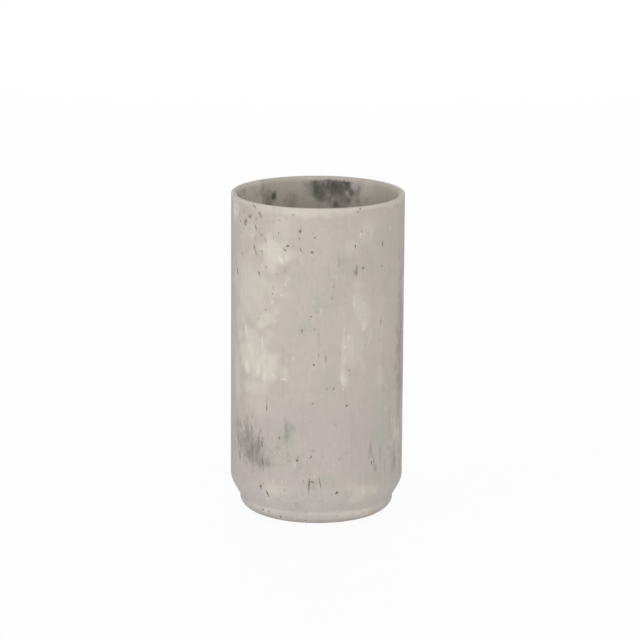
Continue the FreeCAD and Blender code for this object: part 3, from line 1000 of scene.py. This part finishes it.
# %% Make the rubber, the sealant and the film
def dress(obj, name, low, high, size, roughness, depth):
    """Gives an object a finish of two near colours in fine mottling, with matching roughness and bump."""
    finish = Finish(name)
    fine = finish.mottle(size)
    bump = finish.add("ShaderNodeBump", None, {"Strength": 0.4, "Distance": depth, "Height": fine})
    finish.surface({
        "Base Color": finish.mix(finish.rise(fine, 0.35, 0.65), low, high),
        "Roughness": roughness + 0.2 * (fine - 0.5),
        "Normal": bump.outputs[0],
    })
    obj.data.materials.clear()
    obj.data.materials.append(finish.owner)


RUBBER = ((0.070, 0.068, 0.066, 1), (0.110, 0.108, 0.104, 1))
SEALANT = ((0.38, 0.36, 0.33, 1), (0.46, 0.44, 0.41, 1))
FILM = ((0.66, 0.62, 0.52, 1), (0.74, 0.70, 0.60, 1))
dress(rubber_pad, "pad_rubber", *RUBBER, size=0.4, roughness=0.75, depth=0.05 * MM)
dress(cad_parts["bond_bead"], "sealant", *SEALANT, size=0.8, roughness=0.5, depth=0.03 * MM)
dress(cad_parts["pad_film"], "adhesive_film", *FILM, size=1.5, roughness=0.4, depth=0.02 * MM)
print("Other finishes: pad_rubber, sealant, adhesive_film")

# %% [markdown]
# ## Studio
# A plain white floor and a white world stand for a studio sweep. Broad softboxes in front, at the left
# and behind give soft shading. The camera sees the floor and the world as nearly pure white.

# %% Floor
FLOOR_HALF = 5.0  # metres
FLOOR_WHITE = (0.92, 0.92, 0.92, 1)
WHITE = (1, 1, 1, 1)
SWEEP_SHARE = 0.94  # how much of the floor's look is plain white rather than lit floor

bm = bmesh.new()
bmesh.ops.create_grid(bm, x_segments=1, y_segments=1, size=FLOOR_HALF)
mesh = bpy.data.meshes.new("studio_floor")
bm.to_mesh(mesh)
bm.free()
studio_floor = bpy.data.objects.new("studio_floor", mesh)
bpy.context.collection.objects.link(studio_floor)


def seen_directly(finish):
    """1 for rays that show the studio as it is, 0 for rays that only carry its light."""
    rays = finish.add("ShaderNodeLightPath")
    camera_ray, glossy_ray, clear_ray = [
        Field(finish, rays.outputs[f"Is {kind} Ray"]) for kind in ("Camera", "Glossy", "Transmission")
    ]
    return camera_ray + glossy_ray + clear_ray


sweep = Finish("studio_sweep")
lit = sweep.add("ShaderNodeBsdfDiffuse", None, {"Color": FLOOR_WHITE})
plain = sweep.add("ShaderNodeEmission", None, {"Color": WHITE, "Strength": 1.0})
share = seen_directly(sweep) * SWEEP_SHARE
front = sweep.add("ShaderNodeMixShader", None, {0: share, 1: lit.outputs[0], 2: plain.outputs[0]})
clear = sweep.add("ShaderNodeBsdfTransparent")
from_below = sweep.add("ShaderNodeNewGeometry").outputs["Backfacing"]
both = sweep.add("ShaderNodeMixShader", None, {0: from_below, 1: front.outputs[0], 2: clear.outputs[0]})
sweep.add("ShaderNodeOutputMaterial", None, {"Surface": both.outputs[0]})
studio_floor.data.materials.append(sweep.owner)
print("Floor:", 2 * FLOOR_HALF, "m square")

# %% World and softboxes
AMBIENT = 0.72
LESS_FROM_ABOVE = 0.30  # how much the ambient light weakens towards the ceiling
SOFTBOX_DISTANCE = 1.8  # metres
SOFTBOX_SIZE = 1.0

world = bpy.data.worlds.new("studio_world")
bpy.context.scene.world = world
sky = Finish("studio_world", world)
way = sky.add("ShaderNodeTexCoord").outputs["Generated"]
above = Field(sky, sky.add("ShaderNodeSeparateXYZ", None, {"Vector": way}).outputs["Z"])
ambient = AMBIENT * (1 - LESS_FROM_ABOVE * above)
direct = seen_directly(sky)
strength = ambient * (1 - direct) + direct
air = sky.add("ShaderNodeBackground", None, {"Color": WHITE, "Strength": strength})
sky.add("ShaderNodeOutputWorld", None, {"Surface": air.outputs[0]})


def softbox(name, azimuth, elevation, power):
    """A square softbox that looks at the tumbler's middle. Azimuth 0 is at the camera's side."""
    lamp = bpy.data.lights.new(name, "AREA")
    lamp.size = SOFTBOX_SIZE
    lamp.energy = power
    obj = bpy.data.objects.new(name, lamp)
    turn, rise = math.radians(azimuth), math.radians(elevation)
    way = Vector((math.sin(turn) * math.cos(rise), -math.cos(turn) * math.cos(rise), math.sin(rise)))
    middle = Vector((0, 0, lip_z / 2))
    obj.location = middle + way * SOFTBOX_DISTANCE
    obj.rotation_euler = way.to_track_quat("Z", "Y").to_euler()
    obj.visible_camera = False
    bpy.context.collection.objects.link(obj)


softbox("softbox_front", azimuth=11, elevation=6, power=12.5)
softbox("softbox_left", azimuth=-58, elevation=8, power=7)
softbox("softbox_back", azimuth=180, elevation=16, power=9)
bpy.context.scene.view_settings.view_transform = "Standard"
print("Studio: floor, world and three softboxes")
